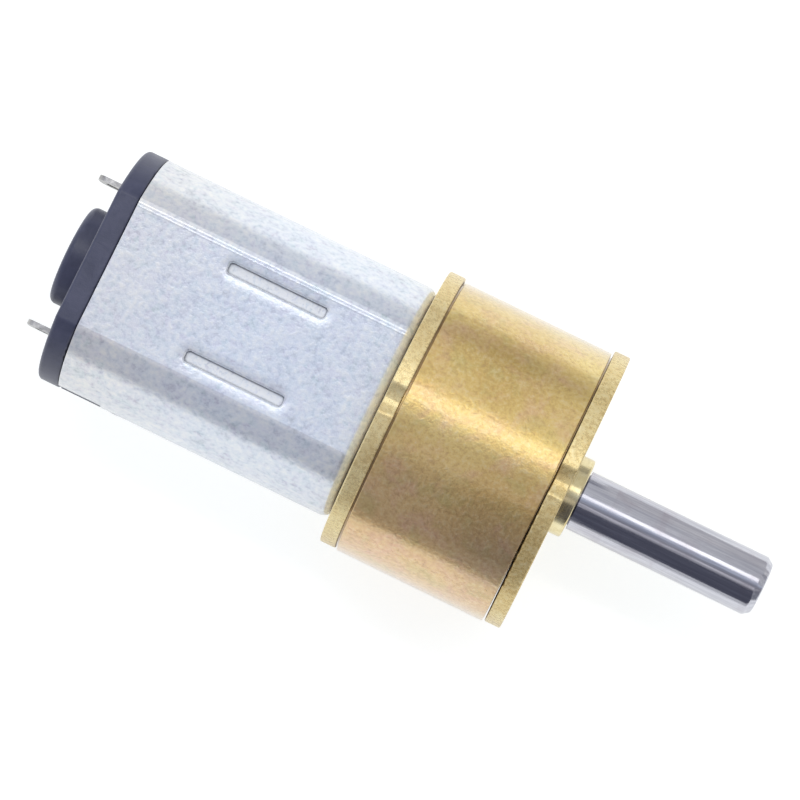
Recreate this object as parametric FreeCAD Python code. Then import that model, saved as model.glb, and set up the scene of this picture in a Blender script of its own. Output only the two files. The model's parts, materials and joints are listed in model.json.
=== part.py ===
import FreeCAD, Part
import math, os

# Small geared direct-current motor: a double-D motor can, a round brass
# gearbox and a plain round output shaft, all on one axis.
# Millimetres. Origin: centre of the gearbox front face on the shaft axis.
# +X points out along the output shaft, +Z is the normal of one can flat.

# gearbox shell
PLATE_R = 7.1
PLATE_T = 0.8
PLATE_EDGE = 0.07
FRONT_X = 0.0
REAR_X = -9.45
FRONT_IN_X = FRONT_X - PLATE_T
REAR_IN_X = REAR_X + PLATE_T
SLEEVE_R = 7.05
SLEEVE_WALL = 0.55
SLEEVE_OFFSET_Y = -0.12
SLEEVE_END_GAP = 0.10
SLEEVE_EDGE = 0.04
RELIEF_W = 0.10
RELIEF_DEPTH = 0.20
NOTCH_R = 1.0
NOTCH_Y = -0.08
NOTCH_Z = 7.78
NOTCH_EDGE = 0.32

# front bush
BOSS_R = 2.0
BOSS_X = 0.68
BOSS_EDGE = 0.12
BUSH_SEAT_R = 2.2
BUSH_FLANGE_R = 2.6
BUSH_INNER_X = -1.7

# output shaft
SHAFT_R = 1.5
SHAFT_TIP_X = 10.32
SHAFT_CHAMFER = 0.35
SHAFT_NOSE_R = SHAFT_R - 0.24
SHAFT_EDGE = 0.16
SHAFT_SHOULDER_X = 0.76
SHAFT_JOURNAL_R = 1.3
SHAFT_SEAT_R = 1.1
SHAFT_WASHER_R = 2.2
RUN_CLEARANCE = 0.02

# motor can (round sides with two flats)
CAN_R = 6.0
CAN_HALF = 5.0
CAN_WALL = 0.5
CAN_BEND_R = 0.3
CAN_BEND_IN_R = 0.2
CAN_RIM_R = 0.62
CAN_FRONT_X = REAR_X
CAN_REAR_X = -23.74
CAN_FRONT_T = 0.55
RIB_Y = 2.28
RIB_X0 = -18.66
RIB_X1 = -13.62
RIB_W = 0.55
RIB_DEPTH = 0.28
RIB_CORNER = 0.17
RIB_LIP = 0.11
RIB_SWELL = 0.1
DENT_R = 0.35
DENT_DEPTH = 0.18

# end cap
CAP_REAR_X = -24.87
CAP_FLOOR_X = -24.0
CAP_SPIGOT_X = -21.5
CAP_SPIGOT_WALL = 0.7
CAP_SLACK = 0.02
CAP_EDGE = 0.2
CAP_FRONT_EDGE = 0.15
CAP_BOSS_R = 2.5
CAP_BOSS_X = -26.07
CAP_BOSS_EDGE = 0.32
CAP_OPENING_R = 0.8
LUG_X = -21.55
LUG_HALF = 0.8
LUG_SLACK = 0.03
LUG_DROP = 0.06

# terminals and brushes
TERM_Y = 3.83
TERM_T = 0.24
TERM_W = 1.6
TERM_X = -26.45
TERM_ROOT_X = -22.3
TERM_CORNER = 0.45
TERM_HOLE_R = 0.35
TERM_HOLE_X = TERM_X + 0.75
LEAF_T = 0.15
LEAF_W = 0.6
PAD_T = 0.35
PAD_HALF = 0.4
BRUSH_GAP = 0.05

# magnets and motor bushes
MAGNET_X0 = -20.6
MAGNET_X1 = -12.6
MAGNET_IN_R = 3.85
MAGNET_HALF = 3.9
MAGNET_MIN_Y = 0.5
NOSE_R = 1.75
NOSE_SEAT_R = 1.85
NOSE_FRONT_X = -8.85
NOSE_REAR_X = -11.2
NOSE_FLANGE_R = 2.3
NOSE_FLANGE_X = -10.6
REAR_BUSH_R = 1.8
REAR_BUSH_X = -25.67

# armature: three poles on the motor arbor
ARBOR_R = 0.5
ARBOR_REAR_X = -25.75
ARBOR_RUN = 0.015
POLES = 3
CORE_R = 3.6
CORE_X0 = -19.8
CORE_X1 = -13.2
CORE_HUB_R = 1.3
SHOE_IN_R = 3.12
SHOE_HALF = 2.85
POLE_HALF = 0.45
POLE_TOP = 3.4
COIL_HALF = 1.3
COIL_FOOT = 1.36
COIL_OVERHANG = 0.6
COIL_CORNER = 0.35
ARBOR_WASHER_R = 1.1
ARBOR_WASHERS = ((-23.9, -23.65), (-11.5, -11.3))

# commutator
COMM_R = 1.7
COMM_X0 = -23.3
COMM_X1 = -21.6
COMM_SLIT_HALF = 0.09
COMM_HUB_R = 1.25
COMM_HUB_X0 = -23.5
COMM_FLANGE_X0 = -21.5
COMM_FLANGE_X1 = -21.1
SUPPRESSOR_R = 2.3
SUPPRESSOR_INSET = 0.05

# gear train: four meshes of 10:26 teeth
MODULE = 0.2
ALPHA = math.radians(20.0)
PINION_Z = 10
WHEEL_Z = 26
SHIFT = 0.35
THIN = 0.02
CENTRE = 3.6
PIN_R = 0.5
PIN_INSET = 0.05
GEAR_BORE = PIN_R + RUN_CLEARANCE
HUB_SEAT_R = 0.8
HUB_STAND = 0.05
END_PLAY = 0.05
SPACER_R = 0.75
ANGLE_A = math.radians(150.0)
ANGLE_B = math.radians(210.0)
LEVELS = ((-8.35, -7.05), (-6.75, -5.45), (-5.05, -3.75), (-3.35, -2.05))

# fixings
MOUNT_SPACING = 9.0
MOUNT_HOLE_R = 0.8
PILLAR_R = 1.1
PILLAR_RIVET_R = 0.7
PILLAR_RADIUS = 5.2
PILLAR_ANGLES = (50.0, -50.0)
PILLAR_THREAD = 3.0
HEAD_T = 0.5
PLATE_SCREW_R = 0.6
PLATE_HEAD_R = 1.1
PLATE_SCREW_LENGTH = 3.2
MOTOR_SCREW_Z = 3.5
MOTOR_SCREW_R = 0.7
MOTOR_HEAD_R = 1.2
MOTOR_SCREW_LENGTH = 1.9
SCREW_TIP = 0.15
SCREW_TIP_SHARE = 0.6
RECESS_SHARE = 0.62
RECESS_HALF = 0.13
RECESS_DEPTH = 0.3

# working values
TOUCH = 0.01
PAST = 1.0
FAR = 9.0

V = FreeCAD.Vector
AXIS_C = (0.0, 0.0)
AXIS_A = (CENTRE * math.cos(ANGLE_A), CENTRE * math.sin(ANGLE_A))
AXIS_B = (CENTRE * math.cos(ANGLE_B), CENTRE * math.sin(ANGLE_B))


# ------------------------------------------------------------ basic shapes

def turned(shape, degrees, y=0.0, z=0.0):
    copy = shape.copy()
    copy.rotate(V(0, y, z), V(1, 0, 0), degrees)
    return copy


def cyl(r, x0, x1, y=0.0, z=0.0):
    # the seam of a round face is turned to the underside
    return turned(Part.makeCylinder(r, x1 - x0, V(x0, y, z), V(1, 0, 0)), 180.0, y, z)


def cone(r0, r1, x0, x1, y=0.0, z=0.0):
    return turned(Part.makeCone(r0, r1, x1 - x0, V(x0, y, z), V(1, 0, 0)), 180.0, y, z)


def box(x0, x1, y0, y1, z0, z1):
    return Part.makeBox(x1 - x0, y1 - y0, z1 - z0, V(x0, y0, z0))


def tube(ro, ri, x0, x1, y=0.0, z=0.0):
    return cyl(ro, x0, x1, y, z).cut(cyl(ri, x0 - PAST, x1 + PAST, y, z))


def drilled(shape, r, x0, x1, y=0.0, z=0.0):
    return shape.cut(cyl(r, x0 - PAST, x1 + PAST, y, z))


def round_edges(shape, radius, test):
    picked = [e for e in shape.Edges if test(e)]
    return shape.makeFillet(radius, picked)


def across(edge):
    # true for an edge in a plane square to the axis
    return edge.BoundBox.XLength < TOUCH


def across_at(x):
    def test(edge):
        return across(edge) and abs(edge.CenterOfMass.x - x) < TOUCH
    return test


def double_d(r, half, x0, x1, bend):
    # a round bar with flats at +Z and -Z, and bends where they meet the round
    body = cyl(r, x0, x1).common(box(x0, x1, -r, r, -half, half))

    def long_corner(edge):
        spans = edge.BoundBox.XLength > 0.9 * (x1 - x0) and edge.BoundBox.YLength < TOUCH
        return spans and abs(abs(edge.CenterOfMass.z) - half) < TOUCH

    return round_edges(body, bend, long_corner)


def export(name, shapes):
    items = shapes if isinstance(shapes, list) else [shapes]
    solids = [s for item in items for s in item.Solids]
    result = solids[0] if len(solids) == 1 else Part.makeCompound(solids)
    result.exportStep("parts/" + name + ".step")


# ------------------------------------------------------------------- gears

def involute(angle):
    return math.tan(angle) - angle


def polar(radius, angle, centre):
    return V(0, centre[0] + radius * math.cos(angle), centre[1] + radius * math.sin(angle))


def gear(teeth, shift, phase, centre, x0, x1, bore):
    pitch = MODULE * teeth / 2.0
    base = pitch * math.cos(ALPHA)
    outer = pitch + MODULE * (1.0 + shift)
    root = pitch - MODULE * (1.25 - shift)
    middle = (base + outer) / 2.0
    thick = MODULE * (math.pi / 2 + 2 * shift * math.tan(ALPHA)) - THIN
    at_pitch = thick / 2.0 / pitch + involute(ALPHA)
    step = 2 * math.pi / teeth

    def half(radius):
        # half the angle that a tooth fills at this radius
        return at_pitch - involute(math.acos(min(1.0, base / radius)))

    edges = []
    for k in range(teeth):
        a = phase + k * step
        rise = [(root, -half(base)), (base, -half(base)), (middle, -half(middle)),
                (outer, -half(outer)), (outer, 0.0)]
        fall = [(radius, -turn) for radius, turn in reversed(rise[:-1])]
        gap = [(root, step / 2), (root, step - half(base))]
        p = [polar(radius, a + turn, centre) for radius, turn in rise + fall + gap]
        edges.append(Part.makeLine(p[0], p[1]))
        edges.append(Part.Arc(p[1], p[2], p[3]).toShape())
        edges.append(Part.Arc(p[3], p[4], p[5]).toShape())
        edges.append(Part.Arc(p[5], p[6], p[7]).toShape())
        edges.append(Part.makeLine(p[7], p[8]))
        edges.append(Part.Arc(p[8], p[9], p[10]).toShape())
    solid = Part.Face(Part.Wire(edges)).extrude(V(x1 - x0, 0, 0))
    solid.translate(V(x0, 0, 0))
    return drilled(solid, bore, x0, x1, *centre)


def direction(start, end):
    return math.atan2(end[1] - start[1], end[0] - start[0])


def pinion(centre, mate, x0, x1, bore):
    # a tooth points at the wheel it drives
    return gear(PINION_Z, SHIFT, direction(centre, mate), centre, x0, x1, bore)


def wheel(centre, mate, level, bore):
    # a gap points at the pinion that drives it
    phase = direction(centre, mate) + math.pi / WHEEL_Z
    x0, x1 = level
    return gear(WHEEL_Z, -SHIFT, phase, centre, x0, x1, bore)


def compound(name, centre, driver, driven, low, high):
    # brass wheel pressed on the hub of a steel pinion
    export(name + "_wheel", wheel(centre, driver, low, HUB_SEAT_R))
    teeth = pinion(centre, driven, low[1], high[1] + HUB_STAND, GEAR_BORE)
    hub = tube(HUB_SEAT_R, GEAR_BORE, low[0] - HUB_STAND, low[1], *centre)
    export(name + "_pinion", teeth.fuse(hub).removeSplitter())


def gear_train():
    l1, l2, l3, l4 = LEVELS
    first = pinion(AXIS_C, AXIS_A, l1[0] - HUB_STAND, l1[1] + HUB_STAND, ARBOR_R)
    export("motor_pinion", first)
    compound("stage_1", AXIS_A, AXIS_C, AXIS_B, l1, l2)
    compound("stage_2", AXIS_B, AXIS_A, AXIS_A, l2, l3)
    compound("stage_3", AXIS_A, AXIS_B, AXIS_C, l3, l4)
    export("output_wheel", wheel(AXIS_C, AXIS_A, l4, SHAFT_SEAT_R))


def gear_pins():
    l1, l2, l3, l4 = LEVELS
    clear = HUB_STAND + END_PLAY
    for name, axis in (("gear_pin_a", AXIS_A), ("gear_pin_b", AXIS_B)):
        export(name, cyl(PIN_R, REAR_X + PIN_INSET, FRONT_X - PIN_INSET, *axis))
    # thin washers carry the end thrust of the wheels on pin A
    export("gear_pin_washers", [
        tube(SPACER_R, PIN_R, REAR_IN_X, l1[0] - clear, *AXIS_A),
        tube(SPACER_R, PIN_R, l2[1] + clear, l3[0] - clear, *AXIS_A)])
    # spacer tubes fill the free stretches of both pins
    export("gear_pin_spacers", [
        tube(SPACER_R, PIN_R, REAR_IN_X, l2[0] - clear, *AXIS_B),
        tube(SPACER_R, PIN_R, l3[1] + clear, FRONT_IN_X, *AXIS_B),
        tube(SPACER_R, PIN_R, l4[1] + clear, FRONT_IN_X, *AXIS_A)])


# ----------------------------------------------------------- gearbox shell

def pillar_positions():
    spots = []
    for degrees in PILLAR_ANGLES:
        a = math.radians(degrees)
        spots.append((PILLAR_RADIUS * math.cos(a), PILLAR_RADIUS * math.sin(a)))
    return spots


def plate_blank(x0, x1):
    disc = drilled(cyl(PLATE_R, x0, x1), NOTCH_R, x0, x1, NOTCH_Y, NOTCH_Z)
    disc = round_edges(disc, NOTCH_EDGE, lambda e: (e.BoundBox.XLength > 0.9 * PLATE_T
                                                    and e.CenterOfMass.z > 0))
    disc = round_edges(disc, PLATE_EDGE, across)
    for y, z in (AXIS_A, AXIS_B):
        disc = drilled(disc, PIN_R, x0, x1, y, z)
    return disc


def countersunk(plate, r, head_r, x0, x1, y, z):
    # a through hole with its sink on the +X side
    plate = drilled(plate, r, x0, x1, y, z)
    return plate.cut(cone(r, head_r, x1 - HEAD_T, x1, y, z))


def front_plate():
    plate = drilled(plate_blank(FRONT_IN_X, FRONT_X), BUSH_SEAT_R, FRONT_IN_X, FRONT_X)
    for side in (-1, 1):
        z = side * MOUNT_SPACING / 2
        plate = drilled(plate, MOUNT_HOLE_R, FRONT_IN_X, FRONT_X, 0.0, z)
    for y, z in pillar_positions():
        plate = countersunk(plate, PLATE_SCREW_R, PLATE_HEAD_R, FRONT_IN_X, FRONT_X, y, z)
    export("gearbox_front_plate", plate)


def rear_plate():
    plate = plate_blank(REAR_X, REAR_IN_X)
    plate = drilled(plate, NOSE_SEAT_R, REAR_X, REAR_IN_X)
    for side in (-1, 1):
        z = side * MOTOR_SCREW_Z
        plate = countersunk(plate, MOTOR_SCREW_R, MOTOR_HEAD_R, REAR_X, REAR_IN_X, 0.0, z)
    for y, z in pillar_positions():
        plate = drilled(plate, PILLAR_RIVET_R, REAR_X, REAR_IN_X, y, z)
    export("gearbox_rear_plate", plate)


def sleeve():
    # a rolled tube with a shallow relief turned at each end
    y = SLEEVE_OFFSET_Y
    ring = tube(SLEEVE_R, SLEEVE_R - SLEEVE_WALL, REAR_IN_X, FRONT_IN_X, y)
    for start in (REAR_IN_X, FRONT_IN_X - RELIEF_W):
        ring = ring.cut(tube(SLEEVE_R + PAST, SLEEVE_R - RELIEF_DEPTH, start, start + RELIEF_W, y))
    # its front end is not quite square: a thin wedge of a gap opens towards -Y
    corners = [V(FRONT_IN_X, FAR, -FAR), V(FRONT_IN_X - SLEEVE_END_GAP, -FAR, -FAR),
               V(FRONT_IN_X + PAST, -FAR, -FAR), V(FRONT_IN_X + PAST, FAR, -FAR)]
    wedge = Part.Face(Part.makePolygon(corners + corners[:1])).extrude(V(0, 0, 2 * FAR))
    ring = ring.cut(wedge)
    ring = round_edges(ring, SLEEVE_EDGE,
                       lambda e: across(e) and e.BoundBox.YLength > 2 * SLEEVE_R - TOUCH)
    export("gearbox_sleeve", ring)


def flat_screw(face_x, r, head_r, length, y, z):
    # countersunk machine screw, head flush with the plate, cross recess
    head_x = face_x - HEAD_T
    end_x = face_x - length
    screw = cone(r, head_r, head_x, face_x, y, z).fuse(cyl(r, end_x, head_x, y, z))
    screw = screw.fuse(cone(r * SCREW_TIP_SHARE, r, end_x - SCREW_TIP, end_x, y, z))
    screw = screw.removeSplitter()
    arm = head_r * RECESS_SHARE
    for a, b in ((arm, RECESS_HALF), (RECESS_HALF, arm)):
        slot = box(face_x - RECESS_DEPTH, face_x + PAST, y - a, y + a, z - b, z + b)
        screw = screw.cut(slot)
    return screw


def pillars_and_screws():
    pillars = []
    screws = []
    for y, z in pillar_positions():
        rivet = cyl(PILLAR_RIVET_R, REAR_X + PIN_INSET, REAR_IN_X, y, z)
        post = cyl(PILLAR_R, REAR_IN_X, FRONT_IN_X, y, z).fuse(rivet)
        thread = cyl(PLATE_SCREW_R, FRONT_IN_X - PILLAR_THREAD, FRONT_X, y, z)
        pillars.append(post.cut(thread))
        screws.append(flat_screw(FRONT_X, PLATE_SCREW_R, PLATE_HEAD_R,
                                 PLATE_SCREW_LENGTH, y, z))
    export("spacer_pillars", pillars)
    export("plate_screws", screws)
    export("motor_screws", [
        flat_screw(REAR_IN_X, MOTOR_SCREW_R, MOTOR_HEAD_R, MOTOR_SCREW_LENGTH,
                   0.0, side * MOTOR_SCREW_Z) for side in (-1, 1)])


def output_bush():
    bush = cyl(BOSS_R, FRONT_X, BOSS_X)
    bush = round_edges(bush, BOSS_EDGE, across_at(BOSS_X))
    bush = bush.fuse(cyl(BUSH_SEAT_R, FRONT_IN_X, FRONT_X))
    bush = bush.fuse(cyl(BUSH_FLANGE_R, BUSH_INNER_X, FRONT_IN_X))
    bush = drilled(bush, SHAFT_JOURNAL_R + RUN_CLEARANCE, BUSH_INNER_X, BOSS_X)
    export("output_bush", bush.removeSplitter())


def output_shaft():
    # the shoulder outside the boss and the wheel inside hold the shaft endwise
    wheel_rear, wheel_front = LEVELS[3]
    chamfer_x = SHAFT_TIP_X - SHAFT_CHAMFER
    shaft = cyl(SHAFT_SEAT_R, wheel_rear - 2 * HUB_STAND, wheel_front)
    shaft = shaft.fuse(cyl(SHAFT_JOURNAL_R, wheel_front, SHAFT_SHOULDER_X))
    shaft = shaft.fuse(cyl(SHAFT_R, SHAFT_SHOULDER_X, chamfer_x))
    shaft = shaft.fuse(cone(SHAFT_R, SHAFT_NOSE_R, chamfer_x, SHAFT_TIP_X)).removeSplitter()
    shaft = round_edges(shaft, SHAFT_EDGE,
                        lambda e: across(e) and e.CenterOfMass.x > chamfer_x - TOUCH)
    export("output_shaft", shaft)
    washer = tube(SHAFT_WASHER_R, SHAFT_JOURNAL_R, wheel_front + END_PLAY / 2,
                  BUSH_INNER_X - END_PLAY)
    export("output_thrust_washer", washer)


# ------------------------------------------------------------------- motor

def rib_tool(y, side, z0, z1, grow):
    half = RIB_W / 2 + grow
    tool = box(RIB_X0 - grow, RIB_X1 + grow, y - half, y + half, z0, z1)
    tool = round_edges(tool, RIB_CORNER, lambda e: e.BoundBox.ZLength > 0.9 * (z1 - z0))
    return turned(tool, 0.0 if side > 0 else 180.0)


def rib_lip(edge):
    # an edge of a rib where it opens on a flat
    level = edge.BoundBox.ZLength < TOUCH and abs(abs(edge.CenterOfMass.z) - CAN_HALF) < TOUCH
    beside = abs(abs(edge.CenterOfMass.y) - RIB_Y) < RIB_W
    return level and beside and RIB_X0 - TOUCH < edge.CenterOfMass.x < RIB_X1 + TOUCH


def motor_can():
    outer = double_d(CAN_R, CAN_HALF, CAN_REAR_X, CAN_FRONT_X, CAN_BEND_R)
    outer = round_edges(outer, CAN_RIM_R, across_at(CAN_FRONT_X))
    inner_half = CAN_HALF - CAN_WALL
    inner = double_d(CAN_R - CAN_WALL, inner_half, CAN_REAR_X - PAST,
                     CAN_FRONT_X - CAN_FRONT_T, CAN_BEND_IN_R)
    can = outer.cut(inner)
    # pressed ribs: each stands proud inside and is sunk outside
    spots = [(y, side) for side in (-1, 1) for y in (-RIB_Y, RIB_Y)]
    for y, side in spots:
        can = can.fuse(rib_tool(y, side, inner_half - RIB_DEPTH, inner_half + TOUCH, RIB_SWELL))
    for y, side in spots:
        can = can.cut(rib_tool(y, side, CAN_HALF - RIB_DEPTH, CAN_HALF + PAST, 0.0))
    can = round_edges(can, RIB_LIP, rib_lip)
    front_in_x = CAN_FRONT_X - CAN_FRONT_T
    can = drilled(can, NOSE_R, front_in_x, CAN_FRONT_X)
    for side in (-1, 1):
        can = drilled(can, MOTOR_SCREW_R, front_in_x, CAN_FRONT_X, 0.0, side * MOTOR_SCREW_Z)
        slot = box(CAN_REAR_X - PAST, LUG_X, CAN_R / 2, CAN_R + PAST, -LUG_HALF, LUG_HALF)
        can = can.cut(turned(slot, 0.0 if side > 0 else 180.0))
        # punched dent that locks the cap
        dent_y = side * (CAN_R + DENT_R - DENT_DEPTH)
        can = can.cut(Part.makeSphere(DENT_R, V(LUG_X + 2 * DENT_R, dent_y, 0)))
    export("motor_can", can)


def cap_lugs():
    # tongues that fill the notches in the can's rear rim
    half = LUG_HALF - LUG_SLACK
    bar = cyl(CAN_R - LUG_DROP, CAN_REAR_X, LUG_X - LUG_SLACK)
    lug = bar.common(box(CAN_REAR_X, 0, CAN_R - 2 * CAN_WALL, CAN_R, -half, half))
    return [lug, turned(lug, 180.0)]


def end_cap():
    rim = double_d(CAN_R, CAN_HALF, CAP_REAR_X, CAN_REAR_X, CAN_BEND_R)
    rim = round_edges(rim, CAP_EDGE, across_at(CAP_REAR_X))
    cap = round_edges(rim, CAP_FRONT_EDGE, across_at(CAN_REAR_X))
    plug_in = CAN_WALL + CAP_SLACK
    plug = double_d(CAN_R - plug_in, CAN_HALF - plug_in, CAN_REAR_X, CAP_SPIGOT_X, CAN_BEND_IN_R)
    for piece in [plug] + cap_lugs():
        cap = cap.fuse(piece)
    hollow_in = plug_in + CAP_SPIGOT_WALL
    cap = cap.cut(double_d(CAN_R - hollow_in, CAN_HALF - hollow_in, CAP_FLOOR_X,
                           CAP_SPIGOT_X + PAST, CAN_BEND_IN_R))
    boss = cyl(CAP_BOSS_R, CAP_BOSS_X, CAP_REAR_X + CAP_EDGE)
    boss = round_edges(boss, CAP_BOSS_EDGE, across_at(CAP_BOSS_X))
    cap = cap.fuse(boss)
    cap = cap.cut(cyl(REAR_BUSH_R, REAR_BUSH_X, CAP_FLOOR_X + PAST))
    cap = cap.cut(cyl(CAP_OPENING_R, CAP_BOSS_X - PAST, CAP_FLOOR_X))
    for side in (-1, 1):
        y = side * TERM_Y
        slot = box(CAP_REAR_X - PAST, CAP_FLOOR_X + PAST, y - TERM_T / 2, y + TERM_T / 2,
                   -TERM_W / 2, TERM_W / 2)
        cap = cap.cut(slot)
    export("motor_end_cap", cap.removeSplitter())


def terminals():
    tab = box(TERM_X, TERM_ROOT_X, TERM_Y - TERM_T / 2, TERM_Y + TERM_T / 2,
              -TERM_W / 2, TERM_W / 2)
    tab = round_edges(tab, TERM_CORNER, lambda e: (e.BoundBox.YLength > 0.9 * TERM_T
                                                   and abs(e.CenterOfMass.x - TERM_X) < TOUCH))
    tab = tab.cut(Part.makeCylinder(TERM_HOLE_R, FAR, V(TERM_HOLE_X, 0, 0), V(0, 1, 0)))
    export("terminal_left", tab)
    export("terminal_right", turned(tab, 180.0))


def strip(points, thickness, x0, x1):
    # a leaf of constant thickness that follows a path in the Y-Z plane
    normals = []
    for (y0, z0), (y1, z1) in zip(points, points[1:]):
        length = math.hypot(y1 - y0, z1 - z0)
        normals.append((-(z1 - z0) / length, (y1 - y0) / length))
    left = []
    right = []
    for i, (y, z) in enumerate(points):
        a = normals[max(0, i - 1)]
        b = normals[min(i, len(normals) - 1)]
        scale = thickness / (1.0 + a[0] * b[0] + a[1] * b[1])
        dy = (a[0] + b[0]) * scale / 2
        dz = (a[1] + b[1]) * scale / 2
        left.append(V(x0, y + dy, z + dz))
        right.append(V(x0, y - dy, z - dz))
    outline = left + right[::-1] + [left[0]]
    return Part.Face(Part.makePolygon(outline)).extrude(V(x1 - x0, 0, 0))


def brushes():
    # a leaf spring goes down from the terminal, round a bend at the cap's
    # edge and back up to hold the carbon pad against the commutator
    back_y = TERM_Y - TERM_T / 2 - LEAF_T / 2
    pad_y = COMM_R + BRUSH_GAP
    leaf_y = pad_y + PAD_T + LEAF_T / 2
    bend_z = -2.35
    path = [(back_y, 0.75), (back_y, -1.9), (back_y - 0.33, bend_z), (2.75, bend_z),
            (2.4, -2.0), (leaf_y, -0.9), (leaf_y, 0.75)]
    x0 = TERM_ROOT_X - LEAF_W
    leaf = strip(path, LEAF_T, x0, TERM_ROOT_X)
    pad = box(x0, TERM_ROOT_X, pad_y, pad_y + PAD_T, -PAD_HALF, PAD_HALF)
    for side, degrees in (("left", 0.0), ("right", 180.0)):
        export("brush_arm_" + side, turned(leaf, degrees))
        export("brush_pad_" + side, turned(pad, degrees))


def magnets_and_bushes():
    ring = tube(CAN_R - CAN_WALL, MAGNET_IN_R, MAGNET_X0, MAGNET_X1)
    block = box(MAGNET_X0, MAGNET_X1, MAGNET_MIN_Y, FAR, -MAGNET_HALF, MAGNET_HALF)
    magnet = ring.common(block)
    export("magnet_left", magnet)
    export("magnet_right", turned(magnet, 180.0))
    flange = cyl(NOSE_FLANGE_R, NOSE_FLANGE_X, CAN_FRONT_X - CAN_FRONT_T)
    front = cyl(NOSE_R, NOSE_REAR_X, NOSE_FRONT_X).fuse(flange)
    front = drilled(front, ARBOR_R + ARBOR_RUN, NOSE_REAR_X, NOSE_FRONT_X)
    export("motor_front_bush", front.removeSplitter())
    export("motor_rear_bush", tube(REAR_BUSH_R, ARBOR_R + ARBOR_RUN, REAR_BUSH_X, CAP_FLOOR_X))


def pole():
    # one tooth of the core: a web with a curved shoe on its end
    shoe = tube(CORE_R, SHOE_IN_R, CORE_X0, CORE_X1)
    shoe = shoe.common(box(CORE_X0, CORE_X1, 0, CORE_R, -SHOE_HALF, SHOE_HALF))
    web = box(CORE_X0, CORE_X1, ARBOR_R + RUN_CLEARANCE, POLE_TOP, -POLE_HALF, POLE_HALF)
    return shoe.fuse(web)


def winding():
    coil = box(CORE_X0 - COIL_OVERHANG, CORE_X1 + COIL_OVERHANG, COIL_FOOT, CORE_R,
               -COIL_HALF, COIL_HALF)
    coil = coil.common(cyl(SHOE_IN_R - LUG_SLACK, CORE_X0 - PAST, CORE_X1 + PAST))
    coil = coil.cut(box(CORE_X0, CORE_X1, 0, CORE_R, -POLE_HALF, POLE_HALF))

    def corner(edge):
        rises = across(edge) and edge.BoundBox.YLength > 1.0
        return rises and abs(abs(edge.CenterOfMass.z) - COIL_HALF) < TOUCH

    return round_edges(coil, COIL_CORNER, corner)


def armature():
    export("motor_shaft", cyl(ARBOR_R, ARBOR_REAR_X, LEVELS[0][1] + HUB_STAND))
    core = cyl(CORE_HUB_R, CORE_X0, CORE_X1)
    tooth = pole()
    coil = winding()
    for k in range(POLES):
        degrees = 360.0 / POLES * k
        core = core.fuse(turned(tooth, degrees))
        export("winding_" + str(k + 1), turned(coil, degrees))
    export("armature_core", drilled(core, ARBOR_R, CORE_X0, CORE_X1).removeSplitter())
    export("motor_thrust_washers",
           [tube(ARBOR_WASHER_R, ARBOR_R, x0, x1) for x0, x1 in ARBOR_WASHERS])


def commutator():
    hub = cyl(COMM_HUB_R, COMM_HUB_X0, COMM_FLANGE_X1)
    hub = hub.fuse(cyl(COMM_R, COMM_FLANGE_X0, COMM_FLANGE_X1))
    hub = drilled(hub, ARBOR_R, COMM_HUB_X0, COMM_FLANGE_X1)
    export("commutator_hub", hub.removeSplitter())
    shell = tube(COMM_R, COMM_HUB_R, COMM_X0, COMM_X1)
    slit = box(COMM_X0, COMM_X1, 0, COMM_R + PAST, -COMM_SLIT_HALF, COMM_SLIT_HALF)
    for k in range(POLES):
        shell = shell.cut(turned(slit, 360.0 / POLES * (k + 0.5)))
    export("commutator_segments", shell)
    export("suppressor_ring", tube(SUPPRESSOR_R, COMM_R, COMM_FLANGE_X0 + SUPPRESSOR_INSET,
                                   COMM_FLANGE_X1 - SUPPRESSOR_INSET))


def main():
    os.makedirs("parts", exist_ok=True)
    gear_train()
    gear_pins()
    front_plate()
    rear_plate()
    sleeve()
    pillars_and_screws()
    output_bush()
    output_shaft()
    motor_can()
    end_cap()
    terminals()
    brushes()
    magnets_and_bushes()
    armature()
    commutator()


main()
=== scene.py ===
"""Looks of a small geared motor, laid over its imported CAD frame. Metres, in the CAD's own frame."""

import json
import math

import bpy
from mathutils import Matrix, Vector


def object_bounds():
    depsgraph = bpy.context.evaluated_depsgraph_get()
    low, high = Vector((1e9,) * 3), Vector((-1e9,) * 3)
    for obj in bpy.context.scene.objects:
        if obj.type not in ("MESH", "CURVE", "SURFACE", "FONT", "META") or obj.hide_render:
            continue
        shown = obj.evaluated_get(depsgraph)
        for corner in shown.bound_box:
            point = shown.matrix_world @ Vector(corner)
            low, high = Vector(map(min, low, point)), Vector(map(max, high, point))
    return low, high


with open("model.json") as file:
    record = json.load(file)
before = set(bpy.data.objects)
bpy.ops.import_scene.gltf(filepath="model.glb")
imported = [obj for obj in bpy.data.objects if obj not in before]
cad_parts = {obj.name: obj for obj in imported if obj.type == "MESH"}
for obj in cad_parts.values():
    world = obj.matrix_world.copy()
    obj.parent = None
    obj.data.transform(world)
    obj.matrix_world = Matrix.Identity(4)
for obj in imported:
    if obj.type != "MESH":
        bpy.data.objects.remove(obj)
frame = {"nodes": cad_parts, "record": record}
cad_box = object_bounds()

MM = 0.001

# camera: above the can's flat, leaning a little to the shaft end and to -Y
AIM = Vector((-8.95, 0.53, 0.34)) * MM
LEAN_TO_SHAFT = math.radians(1.90)
LEAN_TO_SIDE = math.radians(4.20)
SHAFT_DROOP = math.radians(25.93)
DISTANCE = 203.4 * MM
LENS_MM = 193.3

# thickness of one sheet of the armature's core, in millimetres
LAMINATION = 0.35

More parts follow.
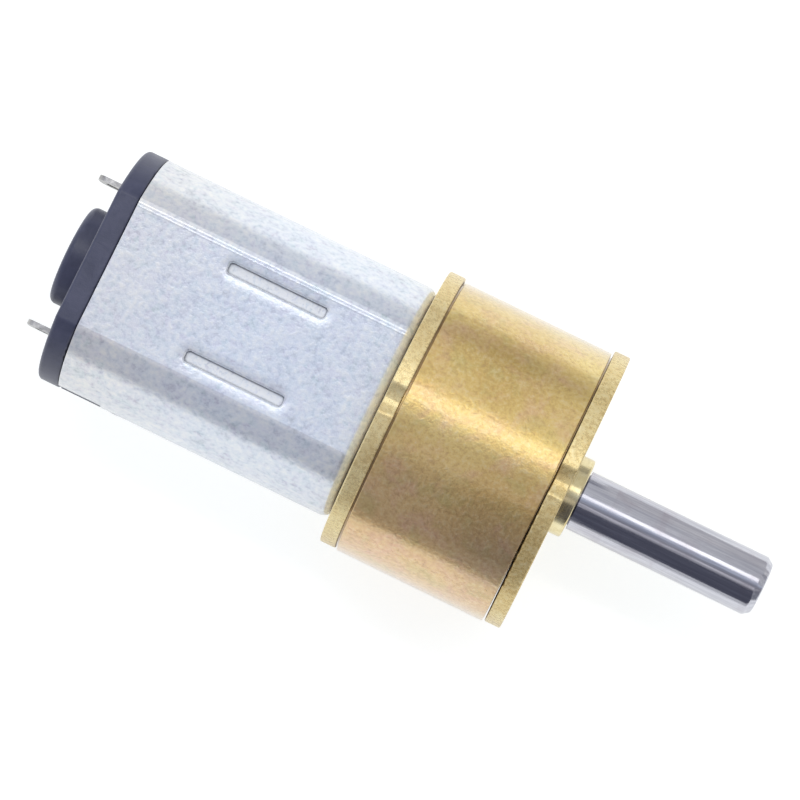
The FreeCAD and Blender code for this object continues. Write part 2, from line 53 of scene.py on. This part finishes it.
# light that comes from each side of the shaft: degrees from straight above
# towards +Y, then colour; it is a little stronger from the motor end
ROOM_LIGHT = (
    (-90, (0.21, 0.22, 0.25)), (-84, (0.27, 0.28, 0.32)), (-60, (0.26, 0.27, 0.31)),
    (-37, (0.27, 0.27, 0.31)), (-28, (0.40, 0.40, 0.43)), (-20, (0.38, 0.38, 0.42)),
    (-10, (0.30, 0.30, 0.34)), (-4, (0.35, 0.37, 0.43)), (2, (0.46, 0.50, 0.60)),
    (10, (0.58, 0.61, 0.70)), (16, (0.60, 0.61, 0.65)), (30, (0.62, 0.63, 0.66)),
    (45, (0.62, 0.63, 0.66)), (64, (0.56, 0.57, 0.60)), (72, (0.47, 0.48, 0.52)),
    (76, (0.28, 0.29, 0.33)), (80, (0.28, 0.29, 0.33)), (83, (0.40, 0.41, 0.45)),
    (90, (0.32, 0.33, 0.37)))
MOTOR_END_LIFT = 1.57
# the room is brighter towards the motor end, between these two directions along the shaft
LIFT_ALONG_X = (-0.15, 0.02)
# the key strip is brighter along its middle: width in metres and radiance of each layer;
# it is turned about the shaft from straight above to +Y
KEY_STRIPS = ((0.11, 0.9), (0.035, 6.5))
KEY_TURN = math.radians(17.0)
KEY_LENGTH = 0.7
KEY_DISTANCE = 0.5
PAPER_GLOW = 0.78
PAPER_GLOW_ON_PART = 0.68
# what shines on the part from far off is dimmer than the paper close by; it fades
# between these places across the floor, in millimetres
FADE_PLUS_Y = (60.0, 75.0)
FADE_MINUS_Y = (-118.0, -108.0)

# the ribs pressed in the can's flats, in millimetres: their centre lines and width
RIB_X0 = -18.40
RIB_X1 = -13.88
RIB_Y = 2.28
RIB_W = 0.55
# a level face lower than the first height above the axis is a rib's floor,
# and one higher than the second is the sheet
FLOOR_BELOW = 4.80
SHEET_ABOVE = 4.85

# shallow shape of the can's flats, in bump: reaches and places in millimetres,
# depths and heights in units of SHEET_BUMP
SHEET_BUMP = 0.015
DRAW_REACH = 0.55
DRAW_DEPTH = 2.0
FALL_Y0 = 3.16
FALL_Y1 = 3.30
FALL_DEPTH = -1.3
RIDGE_Y = (2.93, 3.00, 3.07)
RIDGE_HEIGHT = 0.25


# ------------------------------------------------------------ node helpers


class Shade:
    """A material's node tree, with short calls for the nodes used here."""

    def __init__(self, name):
        self.material = bpy.data.materials.new(name)
        self.material.use_nodes = True
        self.tree = self.material.node_tree
        self.bsdf = self.tree.nodes["Principled BSDF"]
        self.place = self.add("ShaderNodeTexCoord").outputs["Object"]

    def add(self, kind, **settings):
        node = self.tree.nodes.new(kind)
        for key, value in settings.items():
            setattr(node, key, value)
        return node

    def put(self, value, socket):
        if isinstance(value, bpy.types.NodeSocket):
            self.tree.links.new(value, socket)
        else:
            socket.default_value = value

    def stretched(self, x, y, z, turn=(0, 0, 0)):
        """Object coordinates in features per millimetre along each axis."""
        node = self.add("ShaderNodeMapping")
        self.put(self.place, node.inputs["Vector"])
        node.inputs["Scale"].default_value = (x / MM, y / MM, z / MM)
        node.inputs["Rotation"].default_value = [math.radians(t) for t in turn]
        return node.outputs["Vector"]

    def noise(self, per_mm, detail=4.0, rough=0.55, warp=0.0, where=None):
        node = self.add("ShaderNodeTexNoise")
        self.put(self.place if where is None else where, node.inputs["Vector"])
        node.inputs["Scale"].default_value = per_mm / MM if where is None else per_mm
        node.inputs["Detail"].default_value = detail
        node.inputs["Roughness"].default_value = rough
        node.inputs["Distortion"].default_value = warp
        return node.outputs["Fac"]

    def cells(self, per_mm):
        node = self.add("ShaderNodeTexVoronoi")
        self.put(self.place, node.inputs["Vector"])
        node.inputs["Scale"].default_value = per_mm / MM
        return node

    def band(self, value, low, high, out_low=0.0, out_high=1.0):
        """value from low..high to out_low..out_high, held at both ends."""
        node = self.add("ShaderNodeMapRange")
        self.put(value, node.inputs["Value"])
        for key, number in zip(("From Min", "From Max", "To Min", "To Max"),
                               (low, high, out_low, out_high)):
            node.inputs[key].default_value = number
        return node.outputs["Result"]

    def maths(self, how, a, b=0.0):
        node = self.add("ShaderNodeMath", operation=how)
        self.put(a, node.inputs[0])
        self.put(b, node.inputs[1])
        return node.outputs[0]

    def sum(self, a, b):
        return self.maths("ADD", a, b)

    def minus(self, a, b):
        return self.maths("SUBTRACT", a, b)

    def times(self, a, b):
        return self.maths("MULTIPLY", a, b)

    def power(self, a, b):
        return self.maths("POWER", a, b)

    def larger(self, a, b):
        return self.maths("MAXIMUM", a, b)

    def smaller(self, a, b):
        return self.maths("MINIMUM", a, b)

    def size(self, a):
        return self.maths("ABSOLUTE", a)

    def split(self, vector):
        """The outputs "X", "Y" and "Z" of a vector."""
        node = self.add("ShaderNodeSeparateXYZ")
        self.put(vector, node.inputs[0])
        return node.outputs

    def facing(self):
        """How a face points, as the outputs "X", "Y" and "Z"."""
        return self.split(self.add("ShaderNodeTexCoord").outputs["Normal"])

    def colours(self, value, *stops):
        """value 0..1 through (position, colour) stops."""
        node = self.add("ShaderNodeValToRGB")
        self.put(value, node.inputs["Fac"])
        elements = node.color_ramp.elements
        while len(elements) < len(stops):
            elements.new(0.5)
        for element, (position, colour) in zip(elements, stops):
            element.position = position
            element.color = (*colour, 1.0)
        return node.outputs["Color"]

    def mix(self, factor, a, b, how="MIX"):
        node = self.add("ShaderNodeMix", data_type="RGBA", blend_type=how)
        self.put(factor, node.inputs[0])
        for value, socket in ((a, node.inputs[6]), (b, node.inputs[7])):
            self.put(value if isinstance(value, bpy.types.NodeSocket) else (*value, 1.0), socket)
        return node.outputs[2]

    def bump(self, height, depth_mm, below=None):
        node = self.add("ShaderNodeBump")
        node.inputs["Strength"].default_value = 1.0
        node.inputs["Distance"].default_value = depth_mm * MM
        self.put(height, node.inputs["Height"])
        if below is not None:
            self.put(below, node.inputs["Normal"])
        return node.outputs["Normal"]

    def corner_shade(self, tone, colour, reach_mm, unshaded_above=0.85):
        """Painted shade: the tone darkens towards a colour in inner corners, within reach of a
        neighbour; none where it is open.
        """
        corner = self.add("ShaderNodeAmbientOcclusion", samples=8)
        corner.inputs["Distance"].default_value = reach_mm * MM
        return self.mix(self.band(corner.outputs["AO"], 0.35, unshaded_above, 0.9, 0.0), tone, colour)

    def rib_floors(self):
        """1 on the floors of the ribs in the can's flats, 0 elsewhere."""
        height = self.size(self.split(self.place)["Z"])
        level = self.band(self.size(self.facing()["Z"]), 0.90, 0.98)
        return self.times(self.band(height, SHEET_ABOVE * MM, FLOOR_BELOW * MM), level)

    def drawn_to_ribs(self, place):
        """The sheet is drawn down a little towards each rib: 0 beside a rib, 1 away from it."""
        half_length = (RIB_X1 - RIB_X0) / 2 * MM
        from_middle = self.size(self.minus(place["X"], (RIB_X1 + RIB_X0) / 2 * MM))
        past_end = self.larger(self.minus(from_middle, half_length), 0.0)
        beside = self.minus(self.size(place["Y"]), RIB_Y * MM)
        far_squared = self.sum(self.power(past_end, 2.0), self.times(beside, beside))
        far = self.power(far_squared, 0.5)
        near = self.band(far, RIB_W / 2 * MM, (RIB_W / 2 + DRAW_REACH) * MM, 1.0, 0.0)
        return self.minus(1.0, self.times(near, near))

    def sheet_height(self):
        """Height of the can's flats about the ribs and the bends, in units of the bump's depth."""
        place = self.split(self.place)
        drawn = self.times(self.drawn_to_ribs(place), DRAW_DEPTH)
        fall = self.band(self.size(place["Y"]), FALL_Y0 * MM, FALL_Y1 * MM, 0.0, FALL_DEPTH)
        foot, top, far_foot = (y * MM for y in RIDGE_Y)
        rise = self.band(place["Y"], foot, top, 0.0, RIDGE_HEIGHT)
        drop = self.band(place["Y"], top, far_foot, RIDGE_HEIGHT, 0.0)
        return self.sum(self.sum(drawn, fall), self.smaller(rise, drop))

    def end_rings(self, per_mm):
        """Turning marks on faces square to the shaft: (mask, rings about the axis)."""
        mask = self.band(self.size(self.facing()["X"]), 0.80, 0.95)
        place = self.split(self.place)
        radius_squared = self.sum(self.power(place["Y"], 2.0), self.power(place["Z"], 2.0))
        across = self.add("ShaderNodeCombineXYZ")
        self.put(self.power(radius_squared, 0.5), across.inputs[0])
        return mask, self.noise(per_mm / MM, 3.0, 0.6, 0.0, across.outputs[0])

    def dark_patch(self, centre, reach_mm, strength):
        """A soft round spot about a point given in millimetres."""
        far = self.add("ShaderNodeVectorMath", operation="DISTANCE")
        self.put(self.place, far.inputs[0])
        far.inputs[1].default_value = Vector(centre) * MM
        return self.band(far.outputs["Value"], 0.0, reach_mm * MM, strength, 0.0)

    def finish(self, colour, rough, normal=None, metal=1.0, **fixed):
        self.put(colour if isinstance(colour, bpy.types.NodeSocket) else (*colour, 1.0),
                 self.bsdf.inputs["Base Color"])
        self.put(rough, self.bsdf.inputs["Roughness"])
        self.put(metal, self.bsdf.inputs["Metallic"])
        if normal is not None:
            self.put(normal, self.bsdf.inputs["Normal"])
        for key, value in fixed.items():
            self.bsdf.inputs[key.replace("_", " ")].default_value = value
        return self.material


# --------------------------------------------------------------- materials


def can_steel():
    """Bright zinc-like plating: fine spangle and handling scratches; the rib floors are painted pale
    and made matte, a painted reflection.
    """
    s = Shade("can steel")
    cloud = s.noise(0.8, 6.0, 0.6)
    grain = s.noise(3.4, 5.0, 0.70)
    flake = s.cells(3.2).outputs["Color"]
    level = s.sum(s.times(cloud, 0.30), s.times(grain, 0.70))
    tone = s.colours(level, (0.34, (0.60, 0.64, 0.72)), (0.49, (0.84, 0.89, 0.97)),
                     (0.62, (0.98, 1.0, 1.0)))
    tone = s.mix(0.12, tone, flake, "SOFT_LIGHT")
    to_cap = s.band(s.split(s.place)["X"], -17 * MM, -23 * MM, 0.0, 0.75)
    tone = s.mix(to_cap, tone, (1.0, 0.95, 0.88), "MULTIPLY")
    rib_floor = s.rib_floors()
    # painted reflection: the rib floors are painted near white, broken by specks, for their brighter
    # look
    speck = s.band(s.noise(6.0, 3.0, 0.6), 0.46, 0.60, 1.0, 0.2)
    tone = s.mix(s.times(rib_floor, speck), tone, (0.97, 0.99, 1.0))
    # painted shade: the can darkens to near black in the ribs' corners and where it meets its
    # neighbours
    tone = s.corner_shade(tone, (0.10, 0.10, 0.12), 0.12, 0.96)
    line = s.noise(1.0, 3.0, 0.5, 0.3, s.stretched(0.35, 9.0, 9.0, (0, 0, 24)))
    scratch = s.band(line, 0.68, 0.71)
    tone = s.mix(s.times(scratch, 0.30), tone, (0.96, 0.97, 1.0))
    rough = s.band(level, 0.34, 0.64, 0.11, 0.06)
    normal = s.bump(grain, 0.011)
    normal = s.bump(cloud, 0.010, normal)
    normal = s.bump(s.sheet_height(), SHEET_BUMP, normal)
    return s.finish(tone, rough, normal, s.band(rib_floor, 0.0, 1.0, 0.50, 0.0))


def cap_plastic():
    """Matte slate-black moulding with a faint spark-eroded grain."""
    s = Shade("cap plastic")
    mottle = s.noise(1.1, 5.0, 0.6, 0.4)
    grain = s.noise(16.0, 3.0, 0.6)
    dust = s.band(s.noise(6.0, 6.0, 0.75, 1.2), 0.64, 0.76)
    tone = s.colours(mottle, (0.3, (0.050, 0.056, 0.102)), (0.7, (0.080, 0.086, 0.146)))
    tone = s.mix(s.times(dust, 0.30), tone, (0.22, 0.22, 0.26))
    # painted shade: the cap darkens towards black in its inner corners
    tone = s.corner_shade(tone, (0.010, 0.010, 0.018), 0.30, 0.95)
    rough = s.band(mottle, 0.3, 0.7, 0.30, 0.42)
    normal = s.bump(grain, 0.006)
    normal = s.bump(mottle, 0.020, normal)
    return s.finish(tone, rough, normal, 0.0)


def plate_brass():
    """Stamped plate: pale, matte, sandy and patchy; its faces are smoother and faintly ringed."""
    s = Shade("plate brass")
    patch = s.noise(0.45, 6.0, 0.6, 0.6)
    sand = s.noise(4.6, 5.0, 0.66)
    tone = s.colours(patch, (0.30, (0.74, 0.53, 0.21)), (0.50, (0.86, 0.67, 0.30)),
                     (0.70, (0.94, 0.79, 0.41)))
    face, rings = s.end_rings(5.0)
    smooth = s.band(face, 0.0, 1.0, 1.0, 0.45)
    light = s.times(s.band(sand, 0.50, 0.70, 0.0, 0.50), smooth)
    dark = s.times(s.band(sand, 0.50, 0.32, 0.0, 0.55), smooth)
    tone = s.mix(light, tone, (1.0, 0.90, 0.58))
    tone = s.mix(dark, tone, (0.50, 0.33, 0.13))
    # painted light: the plate's colour turns lighter towards the rear plate, where the light is
    # brighter
    lit_to_rear = s.band(s.split(s.place)["X"], -6 * MM, -12 * MM, 0.0, 0.35)
    tone = s.mix(lit_to_rear, tone, (1.0, 0.86, 0.52))
    # random dark brown stains on the plate
    dark_patch = s.band(s.noise(1.3, 7.0, 0.7, 1.0), 0.62, 0.72, 0.0, 0.35)
    tone = s.mix(dark_patch, tone, (0.50, 0.28, 0.12))
    # painted shade: the plate darkens to brown in corners and at the seams with its neighbours
    tone = s.corner_shade(tone, (0.34, 0.19, 0.05), 0.25)
    rough = s.band(sand, 0.3, 0.7, 0.22, 0.34)
    normal = s.bump(s.times(sand, smooth), 0.018)
    normal = s.bump(s.times(rings, face), 0.003, normal)
    return s.finish(tone, rough, normal, 0.50)


def sleeve_brass():
    """Rolled tube: glossy sandy gold, with pink and olive heat tints, specks and hairlines."""
    s = Shade("sleeve brass")
    wide = s.noise(0.16, 3.0, 0.5, 0.3)
    sand = s.noise(4.6, 5.0, 0.66)
    tone = s.colours(wide, (0.32, (0.74, 0.50, 0.135)), (0.50, (0.84, 0.60, 0.18)),
                     (0.68, (0.92, 0.70, 0.23)))
    low_side = s.band(s.split(s.place)["Y"], 0.5 * MM, -5.0 * MM, 0.0, 0.45)
    pink = s.sum(s.band(s.noise(0.7, 7.0, 0.65, 0.4), 0.48, 0.68, 0.0, 0.45), low_side)
    tone = s.mix(pink, tone, (0.84, 0.50, 0.33))
    olive = s.band(s.noise(0.8, 6.0, 0.6, 0.5), 0.52, 0.68, 0.0, 0.45)
    tone = s.mix(olive, tone, (0.60, 0.52, 0.17))
    # painted shade: a dark patch on the -Y side near the front plate, where the dark reflection band
    # lies
    tone = s.mix(s.dark_patch((-1.5, -4.6, 5.3), 3.4, 0.35), tone, (0.36, 0.30, 0.22))
    tone = s.mix(s.band(sand, 0.50, 0.70, 0.0, 0.45), tone, (1.0, 0.83, 0.48))
    tone = s.mix(s.band(sand, 0.50, 0.32, 0.0, 0.50), tone, (0.46, 0.27, 0.10))
    speck = s.band(s.noise(3.6, 4.0, 0.6, 0.6), 0.70, 0.74, 0.0, 0.4)
    tone = s.mix(speck, tone, (0.26, 0.15, 0.08))
    along = s.noise(1.0, 4.0, 0.6, 0.2, s.stretched(5.0, 0.5, 0.5, (0, 0, 12)))
    lines = s.band(along, 0.68, 0.73)
    tone = s.mix(s.times(lines, 0.15), tone, (0.95, 0.80, 0.52))
    # painted shade: the sleeve darkens to brown at its seams with the plates
    tone = s.corner_shade(tone, (0.34, 0.19, 0.05), 0.25)
    rough = s.band(sand, 0.3, 0.7, 0.21, 0.13)
    return s.finish(tone, rough, s.bump(sand, 0.015), 0.66,
                    Coat_Weight=1.0, Coat_Roughness=0.09, Coat_IOR=1.65)


def turned_brass(name, tone_low, tone_high, rough_low, rough_high):
    """Lathe-turned brass: fine rings round the part's axis."""
    s = Shade(name)
    rings = s.noise(1.0, 3.0, 0.6, 0.0, s.stretched(14.0, 0.4, 0.4))
    patch = s.noise(1.2, 6.0, 0.6, 0.5)
    tone = s.colours(patch, (0.35, tone_low), (0.65, tone_high))
    tone = s.mix(s.band(rings, 0.45, 0.7, 0.0, 0.25), tone, (0.97, 0.88, 0.58))
    # painted shade: the brass darkens in inner corners next to its neighbours
    tone = s.corner_shade(tone, (0.08, 0.05, 0.02), 0.12)
    rough = s.band(patch, 0.3, 0.7, rough_low, rough_high)
    return s.finish(tone, rough, s.bump(rings, 0.003), 1.0)


def shaft_steel():
    """Ground steel bar: streaks along its length, darker blooms, hairlines."""
    s = Shade("shaft steel")
    streak = s.noise(1.0, 6.0, 0.65, 0.1, s.stretched(0.25, 7.0, 7.0))
    fine = s.noise(1.0, 4.0, 0.7, 0.0, s.stretched(1.2, 26.0, 26.0))
    bloom = s.noise(0.7, 6.0, 0.6, 0.8)
    tone = s.colours(streak, (0.32, (0.48, 0.48, 0.54)), (0.50, (0.60, 0.60, 0.65)),
                     (0.68, (0.74, 0.74, 0.79)))
    tone = s.mix(s.band(bloom, 0.50, 0.70, 0.0, 0.30), tone, (0.42, 0.36, 0.40))
    end, rings = s.end_rings(9.0)
    turned = s.colours(rings, (0.35, (0.50, 0.50, 0.54)), (0.65, (0.62, 0.62, 0.66)))
    tone = s.mix(end, tone, turned)
    # painted shade: the shaft darkens in inner corners, as where it enters the bush
    tone = s.corner_shade(tone, (0.05, 0.04, 0.05), 0.15)
    rough = s.sum(s.band(fine, 0.3, 0.7, 0.06, 0.12), s.band(bloom, 0.4, 0.7, 0.0, 0.05))
    rough = s.sum(rough, s.times(end, 0.16))
    along = s.minus(1.0, end)
    normal = s.bump(s.times(fine, along), 0.0010)
    normal = s.bump(s.times(streak, along), 0.0015, normal)
    normal = s.bump(s.times(rings, end), 0.0030, normal)
    return s.finish(tone, rough, normal, 1.0)


def plain_steel(name, tone_low, tone_high, rough):
    """Small steel or bronze parts: soft patches and a fine tooth."""
    s = Shade(name)
    patch = s.noise(4.0, 6.0, 0.65, 0.4)
    fine = s.noise(20.0, 3.0, 0.6)
    tone = s.colours(patch, (0.3, tone_low), (0.7, tone_high))
    return s.finish(tone, s.band(patch, 0.3, 0.7, rough - 0.06, rough + 0.08),
                    s.bump(fine, 0.003), 1.0)


def tinned_tab():
    """Solder-dipped tab: soft bright tin over brass that shows at worn spots."""
    s = Shade("tinned tab")
    flow = s.noise(1.6, 4.0, 0.5, 0.8)
    worn = s.band(s.noise(3.0, 6.0, 0.7, 0.5), 0.60, 0.70, 0.0, 0.7)
    tone = s.colours(flow, (0.3, (0.30, 0.29, 0.28)), (0.7, (0.66, 0.65, 0.63)))
    tone = s.mix(worn, tone, (0.40, 0.31, 0.20))
    return s.finish(tone, s.band(flow, 0.3, 0.7, 0.26, 0.40), s.bump(flow, 0.02), 1.0)


def sintered_bronze():
    """Oil-filled bearing bronze with dark pores."""
    s = Shade("sintered bronze")
    pore = s.band(s.cells(9.0).outputs["Distance"], 0.10, 0.35)
    patch = s.noise(1.5, 5.0, 0.6)
    tone = s.colours(patch, (0.3, (0.36, 0.24, 0.10)), (0.7, (0.58, 0.42, 0.20)))
    tone = s.mix(s.band(pore, 0.0, 1.0, 0.6, 0.0), tone, (0.10, 0.06, 0.03))
    return s.finish(tone, s.band(patch, 0.3, 0.7, 0.36, 0.50), s.bump(pore, 0.01), 1.0)


def ferrite():
    """Dark grey pressed ceramic magnet with a gritty surface."""
    s = Shade("ferrite")
    grit = s.noise(12.0, 6.0, 0.7)
    tone = s.colours(grit, (0.3, (0.035, 0.035, 0.038)), (0.75, (0.12, 0.12, 0.125)))
    return s.finish(tone, 0.62, s.bump(grit, 0.012), 0.2)


def laminated_steel():
    """Core stack: one dark line for each thin sheet along the shaft."""
    s = Shade("laminated steel")
    wave = s.add("ShaderNodeTexWave", wave_type="BANDS", bands_direction="X")
    s.put(s.place, wave.inputs["Vector"])
    wave.inputs["Scale"].default_value = 2 * math.pi / (LAMINATION * MM) / 20
    wave.inputs["Distortion"].default_value = 0.3
    sheet = wave.outputs["Fac"]
    patch = s.noise(2.0, 5.0, 0.6)
    tone = s.colours(sheet, (0.05, (0.08, 0.08, 0.09)), (0.35, (0.40, 0.40, 0.44)))
    tone = s.mix(s.band(patch, 0.5, 0.7, 0.0, 0.4), tone, (0.30, 0.20, 0.14))
    return s.finish(tone, s.band(patch, 0.3, 0.7, 0.34, 0.5), s.bump(sheet, 0.02), 1.0)


def copper(name, gloss):
    """Copper under a thin clear coat, as enamel or polish."""
    s = Shade(name)
    patch = s.noise(3.0, 5.0, 0.6, 0.4)
    tone = s.colours(patch, (0.3, (0.55, 0.20, 0.07)), (0.7, (0.86, 0.42, 0.18)))
    return s.finish(tone, s.band(patch, 0.3, 0.7, gloss, gloss + 0.12),
                    s.bump(s.noise(14.0, 3.0, 0.6), 0.004), 1.0, Coat_Weight=0.4)


def moulded(name, tone_low, tone_high, rough):
    """Small non-metal parts with a little mottle and grain."""
    s = Shade(name)
    patch = s.noise(2.0, 4.0, 0.6)
    tone = s.colours(patch, (0.3, tone_low), (0.7, tone_high))
    return s.finish(tone, s.band(patch, 0.3, 0.7, rough, rough + 0.1),
                    s.bump(s.noise(14.0, 3.0, 0.6), 0.006), 0.0)


def make_materials():
    """One finish for each of the record's material slots."""
    gold_low, gold_high = (0.62, 0.44, 0.16), (0.88, 0.70, 0.34)
    return {
        "can_steel": can_steel(),
        "cap_plastic": cap_plastic(),
        "plate_brass": plate_brass(),
        "sleeve_brass": sleeve_brass(),
        "bush_brass": turned_brass("bush brass", (0.70, 0.57, 0.28), (0.92, 0.82, 0.52), 0.10, 0.20),
        "gear_brass": turned_brass("gear brass", gold_low, gold_high, 0.26, 0.38),
        "spacer_brass": turned_brass("spacer brass", gold_low, gold_high, 0.30, 0.42),
        "shaft_steel": shaft_steel(),
        "arbor_steel": plain_steel("arbor steel", (0.52, 0.52, 0.55), (0.74, 0.74, 0.78), 0.20),
        "gear_steel": plain_steel("gear steel", (0.36, 0.36, 0.38), (0.56, 0.56, 0.60), 0.32),
        "pin_steel": plain_steel("pin steel", (0.50, 0.50, 0.53), (0.74, 0.74, 0.77), 0.22),
        "screw_steel": plain_steel("screw steel", (0.40, 0.40, 0.43), (0.66, 0.66, 0.70), 0.30),
        "terminal_metal": tinned_tab(),
        "spring_bronze": plain_steel("spring bronze", (0.56, 0.33, 0.16), (0.80, 0.54, 0.30), 0.26),
        "brush_carbon": moulded("brush carbon", (0.02, 0.02, 0.02), (0.06, 0.06, 0.06), 0.55),
        "magnet_ferrite": ferrite(),
        "bush_bronze": sintered_bronze(),
        "core_steel": laminated_steel(),
        "winding_copper": copper("winding copper", 0.22),
        "commutator_copper": copper("commutator copper", 0.16),
        "hub_plastic": moulded("hub plastic", (0.05, 0.03, 0.02), (0.10, 0.06, 0.04), 0.40),
        "suppressor_ceramic": moulded("suppressor", (0.03, 0.07, 0.16), (0.06, 0.12, 0.24), 0.45),
        "washer_plastic": moulded("washer plastic", (0.62, 0.60, 0.54), (0.80, 0.78, 0.72), 0.35),
    }


def dress(materials):
    """Give each CAD node the finish of its material slot."""
    for part in frame["record"]["subparts"]:
        mesh = frame["nodes"][part["node"]].data
        mesh.materials.clear()
        mesh.materials.append(materials[part["material_slot"]])


# ------------------------------------------------------------------ studio


def floor():
    """Pale paper under the part, lit a little from below as on a light table."""
    low = cad_box[0]
    bpy.ops.mesh.primitive_plane_add(size=3.0, location=(0, 0, low.z - 0.02 * MM))
    plane = bpy.context.object
    plane.name = "floor"
    s = Shade("floor paper")
    tone = s.colours(s.noise(0.05, 3.0, 0.5), (0.3, (0.42, 0.42, 0.42)), (0.7, (0.44, 0.44, 0.44)))
    side = s.split(s.place)["Y"]
    seen = s.add("ShaderNodeLightPath").outputs["Is Camera Ray"]
    near, far = (y * MM for y in FADE_PLUS_Y)
    past_plus_y = s.band(side, near, far, PAPER_GLOW_ON_PART, PAPER_GLOW / 4)
    far, near = (y * MM for y in FADE_MINUS_Y)
    past_minus_y = s.band(side, far, near, PAPER_GLOW / 4, PAPER_GLOW_ON_PART)
    on_part = s.smaller(past_plus_y, past_minus_y)
    glow = s.larger(on_part, s.times(seen, PAPER_GLOW))
    s.put(glow, s.bsdf.inputs["Emission Strength"])
    plane.data.materials.append(s.finish(tone, 0.9, None, 0.0, Emission_Color=(0.98, 1.0, 0.99, 1.0)))


def card(name, low, high, y, colour):
    """An upright card along the shaft that only shows as a reflection; corners (x, z) in mm."""
    mesh = bpy.data.meshes.new(name)
    corners = ((low[0], low[1]), (high[0], low[1]), (high[0], high[1]), (low[0], high[1]))
    mesh.from_pydata([Vector((x, y, z)) * MM for x, z in corners], [], [(0, 1, 2, 3)])
    s = Shade(name)
    s.bsdf.inputs["Emission Strength"].default_value = 1.0
    mesh.materials.append(s.finish((0.0, 0.0, 0.0), 1.0, None, 0.0, Emission_Color=(*colour, 1.0),
                                   Specular_IOR_Level=0.0))
    obj = bpy.data.objects.new(name, mesh)
    obj.visible_camera = False
    obj.visible_diffuse = False
    obj.visible_shadow = False
    bpy.context.scene.collection.objects.link(obj)


def cards():
    """Grey past +Y of the shaft; dark past -Y, with light above and below; dark by the gearbox."""
    foot = -7.0
    card("paper card", (4.0, foot), (80.0, 9.0), -70.0, (0.58, 0.59, 0.62))
    card("dark card", (-6.0, 9.0), (80.0, 150.0), -70.0, (0.095, 0.100, 0.135))
    card("light card", (-1.0, 99.0), (60.0, 160.0), -34.0, (0.60, 0.59, 0.64))
    card("low card", (-11.0, 1.4), (1.0, 9.0), -26.0, (0.25, 0.26, 0.29))
    card("grey card", (2.0, foot), (50.0, 12.0), 25.0, (0.62, 0.62, 0.64))


def key_light():
    """A long soft strip above the shaft, in layers of different width."""
    above = Vector((0, math.sin(KEY_TURN), math.cos(KEY_TURN))) * KEY_DISTANCE
    for width, radiance in KEY_STRIPS:
        data = bpy.data.lights.new("key strip", "AREA")
        data.shape = "RECTANGLE"
        data.size = KEY_LENGTH
        data.size_y = width
        data.energy = radiance * math.pi * width * KEY_LENGTH
        data.color = (1.0, 0.99, 0.97)
        lamp = bpy.data.objects.new("key strip", data)
        lamp.location = AIM + above
        lamp.rotation_euler = (-KEY_TURN, 0, 0)
        bpy.context.scene.collection.objects.link(lamp)


def room():
    """A tent of paper along the shaft: lighter past +Y, dark past -Y; the eye sees plain paper."""
    world = bpy.data.worlds.new("room")
    bpy.context.scene.world = world
    world.use_nodes = True
    tree = world.node_tree
    tree.nodes.clear()

    def add(kind, *links, **settings):
        node = tree.nodes.new(kind)
        for key, value in settings.items():
            setattr(node, key, value)
        for socket, source in zip(node.inputs, links):
            tree.links.new(source, socket)
        return node

    split = add("ShaderNodeSeparateXYZ", add("ShaderNodeTexCoord").outputs["Generated"])
    angle = add("ShaderNodeMath", split.outputs["Y"], split.outputs["Z"], operation="ARCTAN2")
    turn = add("ShaderNodeMapRange", angle.outputs[0])
    turn.inputs["From Min"].default_value = -math.pi / 2
    turn.inputs["From Max"].default_value = math.pi / 2
    ramp = add("ShaderNodeValToRGB", turn.outputs["Result"])
    elements = ramp.color_ramp.elements
    while len(elements) < len(ROOM_LIGHT):
        elements.new(0.5)
    for element, (degrees, colour) in zip(elements, ROOM_LIGHT):
        element.position = 0.5 + degrees / 180.0
        element.color = (*colour, 1.0)
    lift = add("ShaderNodeMapRange", split.outputs["X"])
    lift.inputs["From Min"].default_value, lift.inputs["From Max"].default_value = LIFT_ALONG_X
    lift.inputs["To Min"].default_value = MOTOR_END_LIFT
    studio = add("ShaderNodeBackground", ramp.outputs["Color"], lift.outputs["Result"])
    paper = add("ShaderNodeBackground")
    paper.inputs["Color"].default_value = (0.93, 0.95, 0.95, 1.0)
    seen = add("ShaderNodeLightPath").outputs["Is Camera Ray"]
    add("ShaderNodeOutputWorld",
        add("ShaderNodeMixShader", seen, studio.outputs[0], paper.outputs[0]).outputs[0])


def camera():
    """A long lens above the can's flat, turned so that the shaft droops to the right."""
    data = bpy.data.cameras.new("camera")
    data.lens = LENS_MM
    data.sensor_width = 36.0
    data.clip_start = 0.01
    data.clip_end = 10.0
    obj = bpy.data.objects.new("camera", data)
    bpy.context.scene.collection.objects.link(obj)
    to_eye = (Matrix.Rotation(-SHAFT_DROOP, 3, "Z") @ Matrix.Rotation(-LEAN_TO_SHAFT, 3, "Y")
              @ Matrix.Rotation(-LEAN_TO_SIDE, 3, "X"))
    to_row = to_eye.transposed()
    obj.matrix_world = Matrix.Translation(AIM + to_row @ Vector((0, 0, DISTANCE))) @ to_row.to_4x4()
    bpy.context.scene.camera = obj


dress(make_materials())
floor()
cards()
key_light()
room()
camera()
bpy.context.scene.view_settings.view_transform = "Standard"
